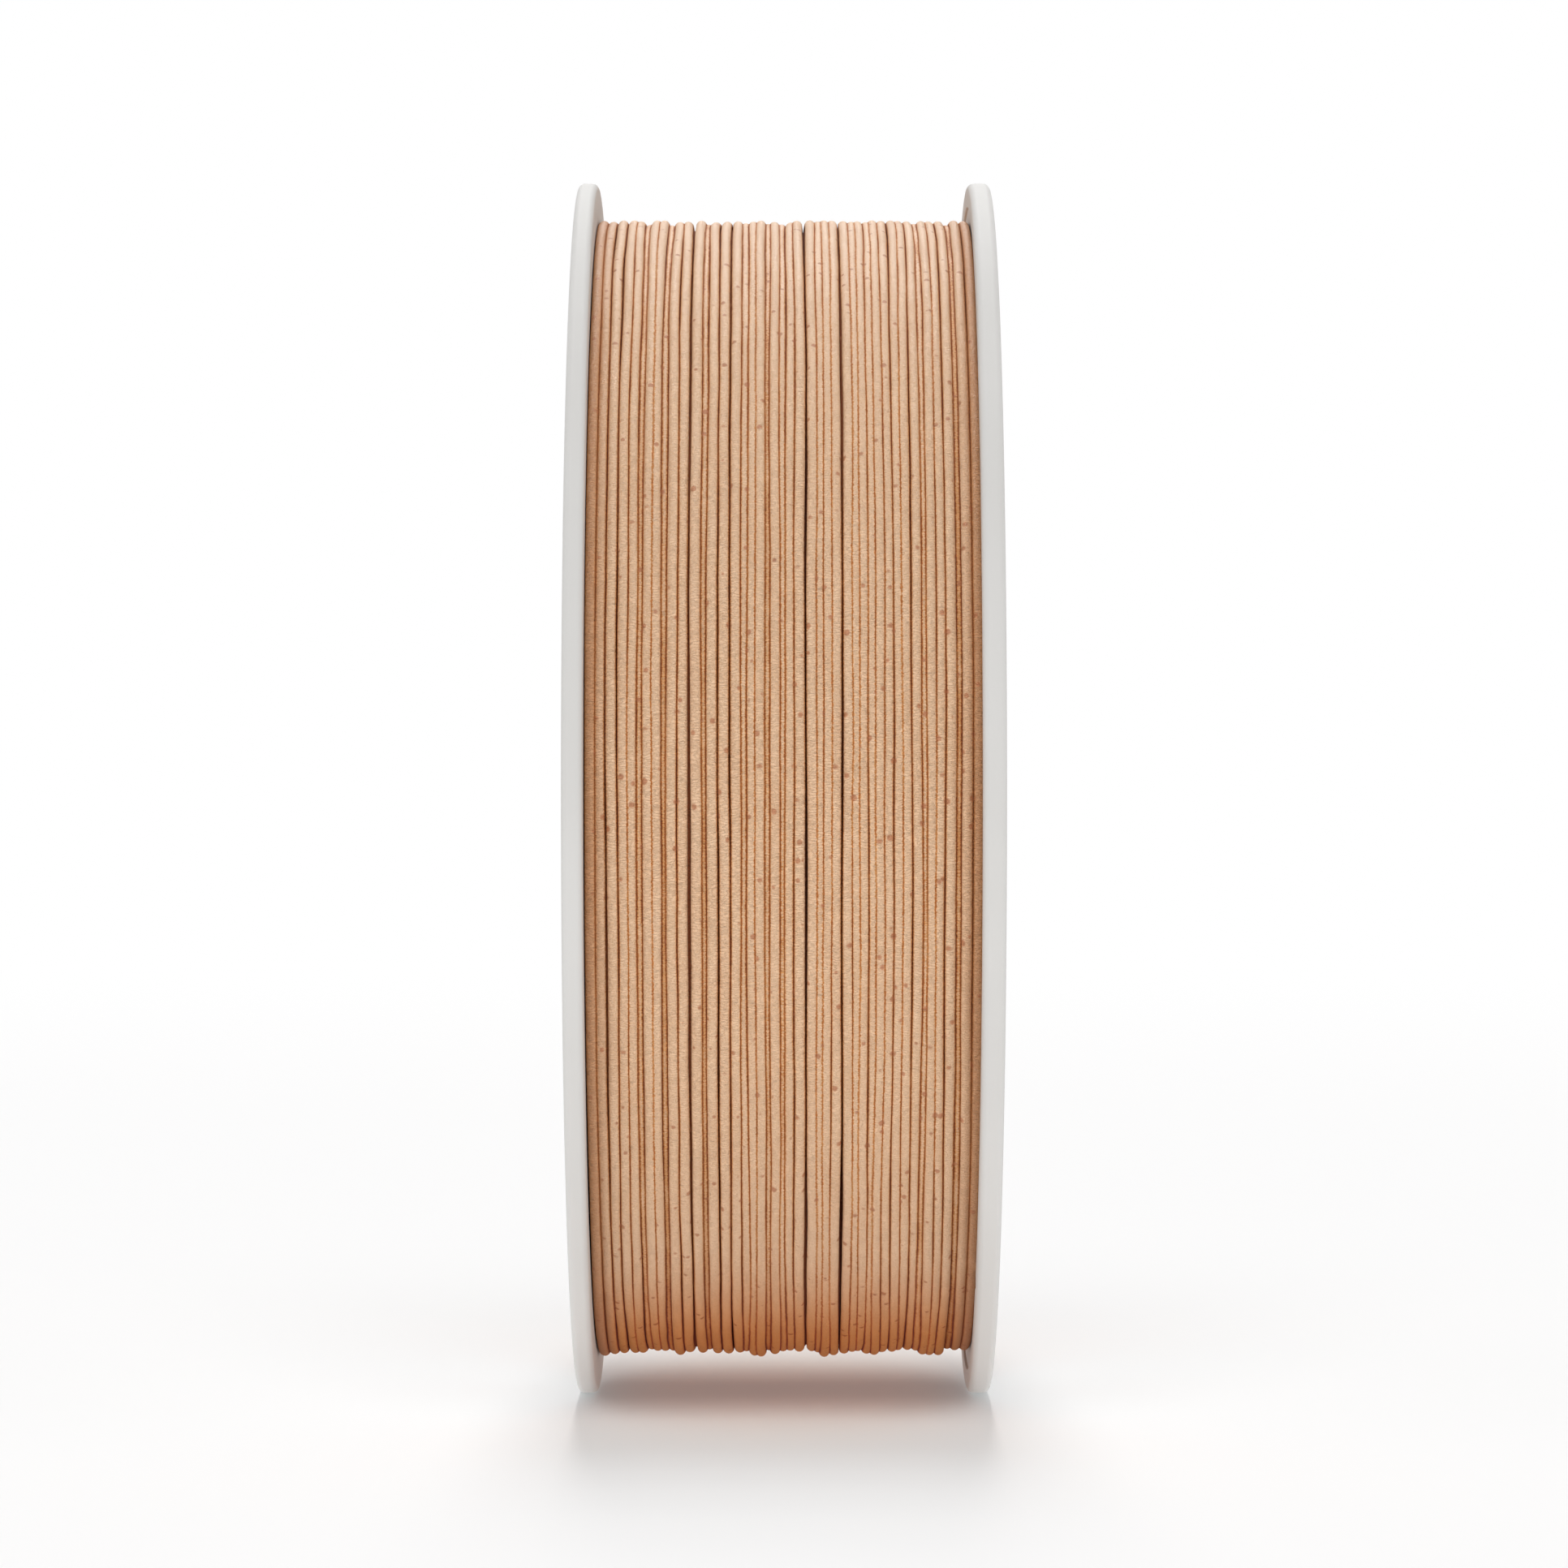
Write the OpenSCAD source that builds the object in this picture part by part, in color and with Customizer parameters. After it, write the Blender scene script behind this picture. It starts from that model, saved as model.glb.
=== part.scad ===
// Refillable reel for 1.75 mm strand: two moulded halves locked by a twist round a wound core.
// The reel's axis lies along X and the origin is the centre of its bore; it stands on its rims.

/* [Reel] */
// Diameter of both flanges
flange_d = 200; // [170:1:260]
// Width over both flanges
reel_w = 67.5; // [58:0.5:90]
// Diameter of the spindle bore
bore_d = 54; // [30:1:60]

/* [Flanges] */
// Thickness of a flange
flange_t = 3.2; // [2.4:0.1:5]
// Rounding of the rim's two edges
rim_round = 1; // [0.4:0.1:1.2]
// Width of the full-thickness band at the rim
rim_band = 5; // [3:0.5:10]
// Depth of the web below the outer face
web_recess = 0.8; // [0.2:0.1:1.4]
// Width of the raised land round the bore
land_w = 6; // [3:0.5:8]
// Number of windows in each flange, with a rib between each two
window_count = 6; // [3:1:8]
// Width of a window
window_w = 18; // [8:1:19]
// Radius of a window's corners
window_corner = 6; // [2:0.5:8]
// Distance from the core to a window's inner edge
window_from_core = 4; // [2:0.5:10]
// Distance from the wound surface in to a window's outer edge
window_from_wound = 7; // [3:0.5:15]
// Width of a rib on the web
rib_w = 3; // [1.5:0.5:5]
// Height of the lip inside the right rim
lip_h = 0.4; // [0.2:0.1:0.6]
// Distance from the wound surface out to the lip
lip_from_wound = 2; // [1:0.5:4]
// Diameter of a tail hole
tail_hole_d = 4.2; // [2.5:0.1:5]
// Height of a tail hole's centre above the wound surface
tail_hole_rise = 1.2; // [0:0.1:2]
// Place of the first tail hole round the axis, measured from the foot towards the back
tail_hole_at = -36; // [-180:1:180]

/* [Collars] */
// Wall of the collar round the bore
collar_wall = 3; // [2:0.5:6]
// Reach of the collar inside its flange
collar_len = 8; // [3:0.5:15]

/* [Twist lock] */
// Outside diameter of the sleeve that carries the refill
sleeve_d = 98.8; // [90:0.2:106]
// Wall of the sleeve
sleeve_wall = 2.4; // [1.6:0.1:3.5]
// Distance from the sleeve's end to the right flange
sleeve_short = 4.5; // [2:0.5:8]
// Wall of the spigot
spigot_wall = 2.4; // [1.6:0.1:4]
// Length of the spigot
spigot_len = 24; // [20:1:30]
// Clearance between the sleeve and the spigot, measured on the radius
spigot_gap = 0.4; // [0.3:0.05:0.8]
// Number of lugs on the spigot
lug_count = 3; // [2:1:3]
// Width of a lug round the spigot
lug_w = 8; // [5:0.5:12]
// Length of a lug along the axis
lug_len = 4; // [3:0.5:6]
// Distance from the right flange to a lug's middle
lug_from_flange = 16; // [12:0.5:17]
// How far a lug stays below the sleeve's outside
lug_below = 0.3; // [0.2:0.1:0.6]
// Clearance round a lug in its slot
slot_gap = 0.6; // [0.3:0.1:1]
// Turn from the open place to the locked place
lock_turn = 30; // [20:1:35]

/* [Refill] */
// Clearance between the sleeve and the core, measured on the radius
core_gap = 0.4; // [0.3:0.05:0.8]
// Wall of the cardboard core
core_wall = 3.2; // [2.6:0.1:5]
// Clearance between the left flange and the refill
left_gap = 0.3; // [0.3:0.1:1]
// Clearance between the right flange and the refill
right_gap = 0.7; // [0.5:0.1:1.5]
// Depth of the wound surface below the rims
wound_below_rim = 6; // [5:0.5:20]
// How far the winding stays inside each end of the core
wound_inset = 0.1; // [0:0.1:0.5]
// Width of a key on the sleeve
key_w = 5; // [3:0.5:8]
// Height of a key on the sleeve
key_h = 1.4; // [0.6:0.1:1.5]
// Distance from each end of the sleeve to a key
key_short = 1; // [0.5:0.5:5]
// Clearance at the sides and top of a key
key_gap = 0.4; // [0.3:0.05:0.8]

/* [Strand] */
// Diameter of the strand
strand_d = 1.75; // [1.5:0.05:1.9]
// Number of turns drawn in the outer layer
outer_turns = 24; // [10:1:24]
// Rings in one turn of the strand
turn_rings = 24; // [16:1:24]
// Sides of the strand
strand_sides = 6; // [6:1:8]
// Gap between the outer layer and the layers under it
layer_gap = 0.1; // [0.05:0.05:0.5]
// Place of both strand ends round the axis, measured from the foot towards the back
strand_ends_at = 90; // [-180:1:180]

/* [Hidden] */
$fn = 128;
// how far a cut runs past the face that it opens
past = 1;
// how far a piece is sunk into another of the same node, so that they join
sunk = 0.2;
// how far a key's foot reaches into the sleeve's wall
key_root = 1;

plastic = [0.87, 0.87, 0.85];
cardboard = [0.66, 0.52, 0.37];
wood_strand = [0.80, 0.62, 0.45];

bore_r = bore_d / 2;
flange_r = flange_d / 2;
// inner faces of the two flanges, as places along the axis
left_face = -(reel_w / 2 - flange_t);
right_face = reel_w / 2 - flange_t;

sleeve_r = sleeve_d / 2;
sleeve_in_r = sleeve_r - sleeve_wall;
sleeve_end = right_face - sleeve_short;
spigot_r = sleeve_in_r - spigot_gap;
spigot_end = right_face - spigot_len;
lug_r = sleeve_r - lug_below;
lug_mid = right_face - lug_from_flange;
lug_half_angle = asin(lug_w / 2 / spigot_r);
slot_half_angle = asin((lug_w / 2 + slot_gap) / spigot_r);
// the lugs stand here when the lock is open, and turn on by lock_turn to lock
lug_places = [for (i = [0 : lug_count - 1]) 60 + 360 * i / lug_count];
// the keys stand midway between two slots
key_places = [for (a = lug_places) a + lock_turn / 2 + 180 / lug_count];

core_in_r = sleeve_r + core_gap;
core_r = core_in_r + core_wall;
core_low = left_face + left_gap;
core_high = right_face - right_gap;
wound_low = core_low + wound_inset;
wound_high = core_high - wound_inset;
wound_r = flange_r - wound_below_rim;

window_in_r = core_r + window_from_core;
window_out_r = wound_r - window_from_wound;
lip_r = wound_r + lip_from_wound;
web_out_r = flange_r - rim_band;
tail_hole_r = wound_r + tail_hole_rise;

// path of the outer layer: rings run straight between its corners, so their middles dip inwards
strand_r = strand_d / 2;
turn_r = wound_r - strand_r;
mass_r = (turn_r - strand_r) * cos(180 / turn_rings) - layer_gap;
turn_low = wound_low + strand_r + layer_gap;
turn_high = wound_high - strand_r - layer_gap;
turn_steps = outer_turns * turn_rings;
function turn_angle(i) = strand_ends_at + 360 * i / turn_rings;
function turn_place(i) = turn_low + (turn_high - turn_low) * i / turn_steps;
// unit vectors out from the axis and along a turn
function outward(a) = [cos(a), sin(a), 0];
function along(a) = [-sin(a), cos(a), 0];
along_axis = [0, 0, 1];
function turn_point(i, r) = r * outward(turn_angle(i)) + turn_place(i) * along_axis;

// Shapes are drawn round Z and laid along X; a place round the axis is then 0 at the foot
// and grows towards the back.
module on_axis() {
    rotate([0, 90, 0]) children();
}

module ring(inner, outer, low, high) {
    rotate_extrude() translate([inner, low]) square([outer - inner, high - low]);
}

// A stretch of a ring, from one place round the axis to another
module sector(inner, outer, low, high, from, to) {
    rotate([0, 0, from])
        rotate_extrude(angle = to - from)
            translate([inner, low]) square([outer - inner, high - low]);
}

// Half section of a flange: radius across, thickness up from the inner face; a lip goes below it
module flange_section(lip) {
    edge_r = flange_r - rim_round;
    difference() {
        union() {
            translate([bore_r, 0]) square([edge_r - bore_r, flange_t]);
            translate([lip_r, -lip]) square([edge_r - lip_r, flange_t + lip]);
            translate([edge_r, rim_round - lip]) square([rim_round, flange_t + lip - 2 * rim_round]);
            translate([edge_r, rim_round - lip]) circle(rim_round);
            translate([edge_r, flange_t - rim_round]) circle(rim_round);
        }
        // the web is lower between the bore's land, the ring over the sleeve and the rim band
        web_cut(bore_r + land_w, sleeve_in_r - spigot_gap);
        web_cut(sleeve_r, web_out_r);
    }
}

module web_cut(from_r, to_r) {
    translate([from_r, flange_t - web_recess]) square([to_r - from_r, web_recess + past]);
}

module window_outline() {
    length = window_out_r - window_in_r;
    straight_w = window_w - 2 * window_corner;
    straight_l = length - 2 * window_corner;
    translate([window_in_r, -window_w / 2]) {
        translate([window_corner, 0]) square([straight_l, window_w]);
        translate([0, window_corner]) square([length, straight_w]);
        for (x = [0, straight_l], y = [0, straight_w])
            translate([window_corner + x, window_corner + y]) circle(window_corner);
    }
}

module flange(lip) {
    window_step = 360 / window_count;
    difference() {
        rotate_extrude() flange_section(lip);
        for (i = [0 : window_count - 1])
            rotate([0, 0, window_step * i])
                translate([0, 0, -past]) linear_extrude(flange_t + 2 * past) window_outline();
    }
    // a rib stands midway between two windows
    for (i = [0 : window_count - 1])
        rotate([0, 0, window_step * (i + 0.5)])
            translate([sleeve_r - sunk, -rib_w / 2, flange_t - web_recess - sunk])
                cube([web_out_r - sleeve_r + 2 * sunk, rib_w, web_recess + sunk]);
}

module left_flange() {
    color(plastic) on_axis()
        translate([0, 0, left_face]) mirror([0, 0, 1]) flange(0);
}

module right_flange() {
    color(plastic) on_axis()
        translate([0, 0, right_face]) difference() {
            flange(lip_h);
            for (turn = [0, 180])
                rotate([0, 0, tail_hole_at + turn])
                    translate([tail_hole_r, 0, -lip_h - past])
                        cylinder(d = tail_hole_d, h = flange_t + lip_h + 2 * past);
        }
}

module left_collar() {
    color(plastic) on_axis() ring(bore_r, bore_r + collar_wall, left_face, left_face + collar_len);
}

module right_collar() {
    color(plastic) on_axis() ring(bore_r, bore_r + collar_wall, right_face - collar_len, right_face);
}

// A straight bar along the axis, from one radius out to another, at a place round the axis
module bar(inner, outer, width, low, high, at) {
    rotate([0, 0, at]) translate([inner, -width / 2, low]) cube([outer - inner, width, high - low]);
}

// Slot for one lug: in from the sleeve's end, then round by the lock's turn
module lug_slot(at) {
    inner = sleeve_in_r - past;
    outer = sleeve_r + past;
    low = lug_mid - lug_len / 2 - slot_gap;
    high = lug_mid + lug_len / 2 + slot_gap;
    bar(inner, outer, lug_w + 2 * slot_gap, low, sleeve_end + past, at);
    sector(inner, outer, low, high, at, at + lock_turn + slot_half_angle);
}

module left_sleeve() {
    color(plastic) on_axis() {
        difference() {
            ring(sleeve_in_r, sleeve_r, left_face, sleeve_end);
            for (a = lug_places) lug_slot(a);
        }
        for (a = key_places)
            bar(sleeve_r - key_root, sleeve_r + key_h, key_w,
                left_face + key_short, sleeve_end - key_short, a);
    }
}

module right_spigot() {
    color(plastic) on_axis() {
        ring(spigot_r - spigot_wall, spigot_r, spigot_end, right_face);
        for (a = lug_places)
            sector(spigot_r - sunk, lug_r, lug_mid - lug_len / 2, lug_mid + lug_len / 2,
                   a - lug_half_angle, a + lug_half_angle);
    }
}

module core_tube() {
    color(cardboard) on_axis() difference() {
        ring(core_in_r, core_r, core_low, core_high);
        for (a = key_places)
            bar(core_in_r - past, sleeve_r + key_h + key_gap, key_w + 2 * key_gap,
                core_low - past, core_high + past, a);
    }
}

// The layers under the outer one
module strand_winding() {
    color(wood_strand) on_axis() ring(core_r + layer_gap, mass_r, wound_low, wound_high);
}

// The outer layer: one tube that comes out of the winding, turns round it and goes back in
module strand_outer_turns() {
    first = turn_angle(0);
    last = turn_angle(turn_steps);
    middles = [turn_point(0, mass_r),
               for (i = [0 : turn_steps]) turn_point(i, turn_r),
               turn_point(turn_steps, mass_r)];
    // which way each ring's first corner points; the two corners where the ends bend are mitred
    tops = [-along(first),
            outward(first) - along(first),
            for (i = [1 : turn_steps - 1]) outward(turn_angle(i)),
            outward(last) + along(last),
            along(last)];
    rings = len(middles);
    points = [for (i = [0 : rings - 1], j = [0 : strand_sides - 1])
        middles[i] + strand_r * (cos(360 * j / strand_sides) * tops[i]
                                 + sin(360 * j / strand_sides) * along_axis)];
    function corner(i, j) = i * strand_sides + j % strand_sides;
    walls = [for (i = [0 : rings - 2], j = [0 : strand_sides - 1], half = [0, 1])
        half == 0 ? [corner(i, j), corner(i + 1, j + 1), corner(i, j + 1)]
                  : [corner(i, j), corner(i + 1, j), corner(i + 1, j + 1)]];
    ends = [for (j = [1 : strand_sides - 2], end = [0, 1])
        end == 0 ? [corner(0, 0), corner(0, j), corner(0, j + 1)]
                 : [corner(rings - 1, 0), corner(rings - 1, j + 1), corner(rings - 1, j)]];
    // the gap is measured between points of neighbouring turns, at least half a turn apart
    reach = turn_rings / 2;
    gap = min([for (i = [0 : rings - 1], j = [i + reach : min(i + 3 * reach, rings - 1)])
        norm(middles[i] - middles[j])]) - strand_d;
    echo(str("least gap between turns of the strand: ", gap, " mm"));
    color(wood_strand) on_axis() polyhedron(points = points, faces = concat(walls, ends));
}

left_flange();
left_collar();
left_sleeve();
core_tube();
strand_winding();
strand_outer_turns();
right_flange();
right_collar();
right_spigot();
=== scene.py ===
# %% [markdown]
# # A refillable reel of wood-filled strand
# The object is a reel for 1.75 mm strand: two moulded flanges, joined by a twist lock inside a
# cardboard core, and on the core a full winding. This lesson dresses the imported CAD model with
# finished pieces. Every piece is drawn in millimetres round the Z axis, the way a lathe or a
# moulding tool sees it, and is laid along X and brought to metres in its last step.

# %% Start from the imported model
import math
import random

import bmesh
import bpy
from mathutils import Matrix, Vector, noise


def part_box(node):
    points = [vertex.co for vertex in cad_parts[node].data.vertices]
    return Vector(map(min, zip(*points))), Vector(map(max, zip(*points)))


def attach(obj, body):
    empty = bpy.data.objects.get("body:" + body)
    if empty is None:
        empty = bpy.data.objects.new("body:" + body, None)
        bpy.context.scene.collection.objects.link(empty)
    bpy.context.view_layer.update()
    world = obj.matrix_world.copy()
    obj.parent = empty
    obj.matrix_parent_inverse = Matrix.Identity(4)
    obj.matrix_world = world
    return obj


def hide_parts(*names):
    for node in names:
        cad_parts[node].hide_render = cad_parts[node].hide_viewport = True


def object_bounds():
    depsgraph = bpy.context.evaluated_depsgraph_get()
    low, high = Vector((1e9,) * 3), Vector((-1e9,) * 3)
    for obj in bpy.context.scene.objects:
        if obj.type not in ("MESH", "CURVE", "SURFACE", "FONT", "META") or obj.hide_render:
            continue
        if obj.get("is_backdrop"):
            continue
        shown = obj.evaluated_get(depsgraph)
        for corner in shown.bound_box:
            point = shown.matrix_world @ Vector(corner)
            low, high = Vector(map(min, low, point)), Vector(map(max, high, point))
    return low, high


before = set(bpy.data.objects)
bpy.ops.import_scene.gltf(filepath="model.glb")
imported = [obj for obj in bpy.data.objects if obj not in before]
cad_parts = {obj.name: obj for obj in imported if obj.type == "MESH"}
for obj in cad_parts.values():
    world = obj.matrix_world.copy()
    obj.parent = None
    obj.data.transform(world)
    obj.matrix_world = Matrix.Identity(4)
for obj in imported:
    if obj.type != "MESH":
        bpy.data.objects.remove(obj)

MM = 0.001
TURN = 2 * math.pi
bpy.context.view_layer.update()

# %% [markdown]
# ## The camera
# A reel is best shown from far away with a long lens, level with the axle, so that both rims look
# almost straight. The lens is set first because every later choice, such as how many sides a
# strand needs, depends on how large it appears.

# %% Camera level with the axle
SENSOR, LENS = 36, 153.45
CAMERA_AWAY, CAMERA_UP = 1110, 0.7
camera_data = bpy.data.cameras.new("camera")
camera_data.sensor_width, camera_data.lens = SENSOR, LENS
camera = bpy.data.objects.new("camera", camera_data)
camera.location = (0, -CAMERA_AWAY * MM, CAMERA_UP * MM)
camera.rotation_euler = (math.pi / 2, 0, 0)
scene = bpy.context.scene
scene.collection.objects.link(camera)
scene.camera = camera
scene.view_settings.view_transform = "Standard"
print("camera stands", CAMERA_AWAY, "mm in front of the axle")

# %% [markdown]
# ## Writing shader maths as sums
# A finish is a small network of nodes. Adding Math nodes one by one hides what they work out, so
# a wire, which is one output socket, is wrapped in a class that understands + - and *, also with
# a plain number on the left. Any other node comes from one method, which sets the node's own
# settings before its sockets.

# %% Wires
class Wire:
    """One output socket that can be used in sums with other wires and with numbers."""

    def __init__(self, finish, socket):
        self.finish, self.socket = finish, socket

    def output(self, name):
        """Another output of the same node."""
        return Wire(self.finish, self.socket.node.outputs[name])

    def maths(self, operation, other=0):
        return self.finish.maths(operation, self, other)

    def __add__(self, other):
        return self.maths("ADD", other)

    def __sub__(self, other):
        return self.maths("SUBTRACT", other)

    def __rsub__(self, other):
        return self.finish.maths("SUBTRACT", other, self)

    def __mul__(self, other):
        return self.maths("MULTIPLY", other)

    __radd__, __rmul__ = __add__, __mul__

    def most(self, other):
        return self.maths("MAXIMUM", other)


print("wires understand + - and *")


# %% A finish under construction
class Finish:
    """The node tree of a material or of the world."""

    def __init__(self, owner):
        owner.use_nodes = True
        self.tree = owner.node_tree
        self.tree.nodes.clear()

    def add(self, kind, settings=None, sockets=None, out=0):
        """A node of any kind: its own settings first, then values or wires for its sockets."""
        node = self.tree.nodes.new(kind)
        for name, value in (settings or {}).items():
            if name == "stops":
                ramp = node.color_ramp
                while len(ramp.elements) < len(value):
                    ramp.elements.new(0.5)
                for element, (position, colour) in zip(ramp.elements, value):
                    element.position, element.color = position, (*colour, 1)
            else:
                setattr(node, name, value)
        for name, value in (sockets or {}).items():
            if isinstance(value, Wire):
                self.tree.links.new(value.socket, node.inputs[name])
            else:
                node.inputs[name].default_value = value
        return Wire(self, node.outputs[out]) if len(node.outputs) else node

    def maths(self, operation, first, second):
        return self.add("ShaderNodeMath", {"operation": operation}, {0: first, 1: second})

    def smooth(self, value, low, high):
        """0 at low, 1 at high and an easy curve between them; low may be the larger one."""
        return self.add("ShaderNodeMapRange", {"interpolation_type": "SMOOTHSTEP"},
                        {"Value": value, "From Min": low, "From Max": high})

    def noise(self, place, scale, detail=2.0, roughness=0.5):
        return self.add("ShaderNodeTexNoise", None, {"Vector": place, "Scale": scale,
                                                     "Detail": detail, "Roughness": roughness})

    def stretched(self, place, scales):
        return self.add("ShaderNodeMapping", None, {"Vector": place, "Scale": scales})

    def distance(self, place):
        return self.add("ShaderNodeVectorMath", {"operation": "LENGTH"}, {0: place}, out="Value")

    def blend(self, share, first, second, way="MIX"):
        first, second = ((*c, 1) if isinstance(c, tuple) and len(c) == 3 else c
                         for c in (first, second))
        return self.add("ShaderNodeMix", {"data_type": "RGBA", "blend_type": way},
                        {0: share, 6: first, 7: second}, out=2)

    def bump(self, height, distance, strength):
        return self.add("ShaderNodeBump", None,
                        {"Height": height, "Distance": distance, "Strength": strength})

    def surface(self, sockets):
        shader = self.add("ShaderNodeBsdfPrincipled", None, sockets)
        self.add("ShaderNodeOutputMaterial", None, {"Surface": shader})


def new_material(name):
    material = bpy.data.materials.new(name)
    return material, Finish(material)


print("finishes can be put together")

# %% [markdown]
# ## Studio
# The reel stands on a pale table in even white light, as in a tent of white cloth. A row of
# narrow lamps behind and above makes one curved strip, which puts a soft sheen on the top of the
# reel, a broad one stands in front, half way up, and weak ones fill in from the sides. The
# surround and the table are brighter to the camera than to the object, through Light Path, so
# that the background is white while the lamps stay at a plain level, and far off the table fades
# to white, as a curved backdrop does.

# %% White surround
SURROUND = 0.38
world = bpy.data.worlds.new("studio")
scene.world = world
sky = Finish(world)
ray = sky.add("ShaderNodeLightPath", out="Is Camera Ray")
seen = ray.most(ray.output("Is Glossy Ray")).most(ray.output("Is Transmission Ray"))
backdrop = sky.add("ShaderNodeBackground", None, {
    "Color": (1, 1, 1, 1), "Strength": seen * (1 - SURROUND) + SURROUND})
sky.add("ShaderNodeOutputWorld", None, {"Surface": backdrop})
print("surround lights the object at", SURROUND)

# %% Floor that keeps the shadow
FADE_STARTS, FADE_ENDS = 0.5, 2.5       # metres from the reel
floor_material, finish = new_material("studio_floor")


def floor_shader(colour, glow):
    """A pale floor that glows a little, as a lit table top does."""
    pale = finish.add("ShaderNodeBsdfDiffuse", None, {"Color": (*colour, 1)})
    lit = finish.add("ShaderNodeEmission", None, {"Color": (*glow, 1)})
    return finish.add("ShaderNodeAddShader", None, {0: pale, 1: lit})


ray = finish.add("ShaderNodeLightPath", out="Is Camera Ray")
place = finish.add("ShaderNodeTexCoord", out="Object")
far_off = finish.smooth(finish.distance(place), FADE_STARTS, FADE_ENDS)
shown = finish.add("ShaderNodeMixShader", None, {
    0: far_off, 1: floor_shader((0.8, 0.77, 0.76), (0.112, 0.14, 0.15)),
    2: floor_shader((0, 0, 0), (1, 1, 1))})
mixed = finish.add("ShaderNodeMixShader", None, {
    0: ray, 1: floor_shader((0.8, 0.8, 0.8), (0.36, 0.36, 0.36)), 2: shown})
finish.add("ShaderNodeOutputMaterial", None, {"Surface": mixed})
print("table fades to white from", FADE_STARTS, "to", FADE_ENDS, "m")

# %% Table top
FLOOR_Z = -100 * MM
FLOOR_HALF = 30
bm = bmesh.new()
bmesh.ops.create_grid(bm, x_segments=1, y_segments=1, size=FLOOR_HALF,
                      matrix=Matrix.Translation((0, 0, FLOOR_Z)))
floor_mesh = bpy.data.meshes.new("studio_floor")
bm.to_mesh(floor_mesh)
bm.free()
floor_mesh.materials.append(floor_material)
floor = bpy.data.objects.new("studio_floor", floor_mesh)
scene.collection.objects.link(floor)
floor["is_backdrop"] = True
print("floor at", FLOOR_Z / MM, "mm")


# %% Lamps
def lamp(name, place, spread, level):
    """Broad, even light from one side, which lights a surface facing it to the given level."""
    data = bpy.data.lights.new(name, "SUN")
    data.energy, data.angle = level * math.pi, math.radians(spread)
    obj = bpy.data.objects.new(name, data)
    obj.location = place
    obj.rotation_euler = (-Vector(place)).to_track_quat("-Z", "Y").to_euler()
    scene.collection.objects.link(obj)
    print(name, "lights a facing surface to", level)


STRIP_FROM, STRIP_STEP = 35, 10         # degrees above the table, behind the reel
STRIP_LEVELS = (0.08, 0.08, 0.1, 0.1, 0.09, 0.06)
for step, level in enumerate(STRIP_LEVELS):
    up = math.radians(STRIP_FROM + STRIP_STEP * step)
    lamp(f"strip_lamp_{step + 1}", (0, math.cos(up), math.sin(up)), STRIP_STEP, level)
lamp("upper_front_lamp", (0, -1.0, 1.0), 40, 0.29)
lamp("left_front_lamp", (-0.45, -1.0, 0.35), 34, 0.03)
lamp("right_front_lamp", (0.45, -1.0, 0.35), 34, 0.02)
lamp("left_lamp", (-1.0, -0.1, 0.6), 60, 0.06)
lamp("right_lamp", (1.0, -0.1, 0.6), 60, 0.05)

# %% [markdown]
# ## Sizes
# The same sizes as the CAD model's, in millimetres. Places round the axis are in degrees from the
# foot, towards the back, and the camera's side is at -90.

# %% Sizes of the reel
FLANGE_R, FLANGE_T = 100, 3.2
LEFT_FACE, RIGHT_FACE = -30.55, 30.55   # the flanges' inner faces
BORE_R, LAND_R, BAND_R = 27, 33, 95
WEB_RECESS = 0.8
LIP_R, LIP_H = 96, 0.4
SLEEVE_IN, SLEEVE_R, SLEEVE_END = 47, 49.4, 26.05
SPIGOT_IN, SPIGOT_R, SPIGOT_END = 44.2, 46.6, 6.55
SUNK = 0.2                              # how deep a part's foot is sunk in its flange
LUG_PLACES = (60, 180, 300)
KEY_PLACES = (135, 255, 375)
CORE_IN, CORE_R, CORE_LOW, CORE_HIGH = 49.8, 53, -30.25, 29.85
WOUND_R, WOUND_LOW, WOUND_HIGH = 94, -30.15, 29.75
STRAND_R = 0.875
_, flange_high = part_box("left_flange")
print("left flange radius in the frame:", round(flange_high.z / MM, 2), "and here", FLANGE_R)

# %% [markdown]
# ## Laying a piece along the axle
# A piece drawn round Z is turned so that its Z becomes the axle, X, and its X points to the foot.
# The turn and the scale go into the mesh, and the object itself stays at the origin, unturned.
# Flat faces keep their flat look beside rounded edges through the Weighted Normal modifier.

# %% Helpers for drawings
LAID = Matrix(((0, 0, 1, 0), (0, 1, 0, 0), (-1, 0, 0, 0), (0, 0, 0, 1)))
ALONG = Vector((0, 0, 1))


def round_axis(place):
    return Matrix.Rotation(math.radians(place), 4, "Z")


def verts_of(geometry):
    return [v for v in geometry if isinstance(v, bmesh.types.BMVert)]


def tidy(bm):
    """Closes seams and any open end, and turns all faces outwards."""
    bmesh.ops.remove_doubles(bm, verts=bm.verts, dist=1e-4)
    open_edges = [e for e in bm.edges if len(e.link_faces) == 1]
    if open_edges:
        bmesh.ops.holes_fill(bm, edges=open_edges, sides=0)
    bmesh.ops.recalc_face_normals(bm, faces=bm.faces)
    return bm


print("a drawing's Z, the axis, becomes", tuple(LAID @ ALONG))


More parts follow.
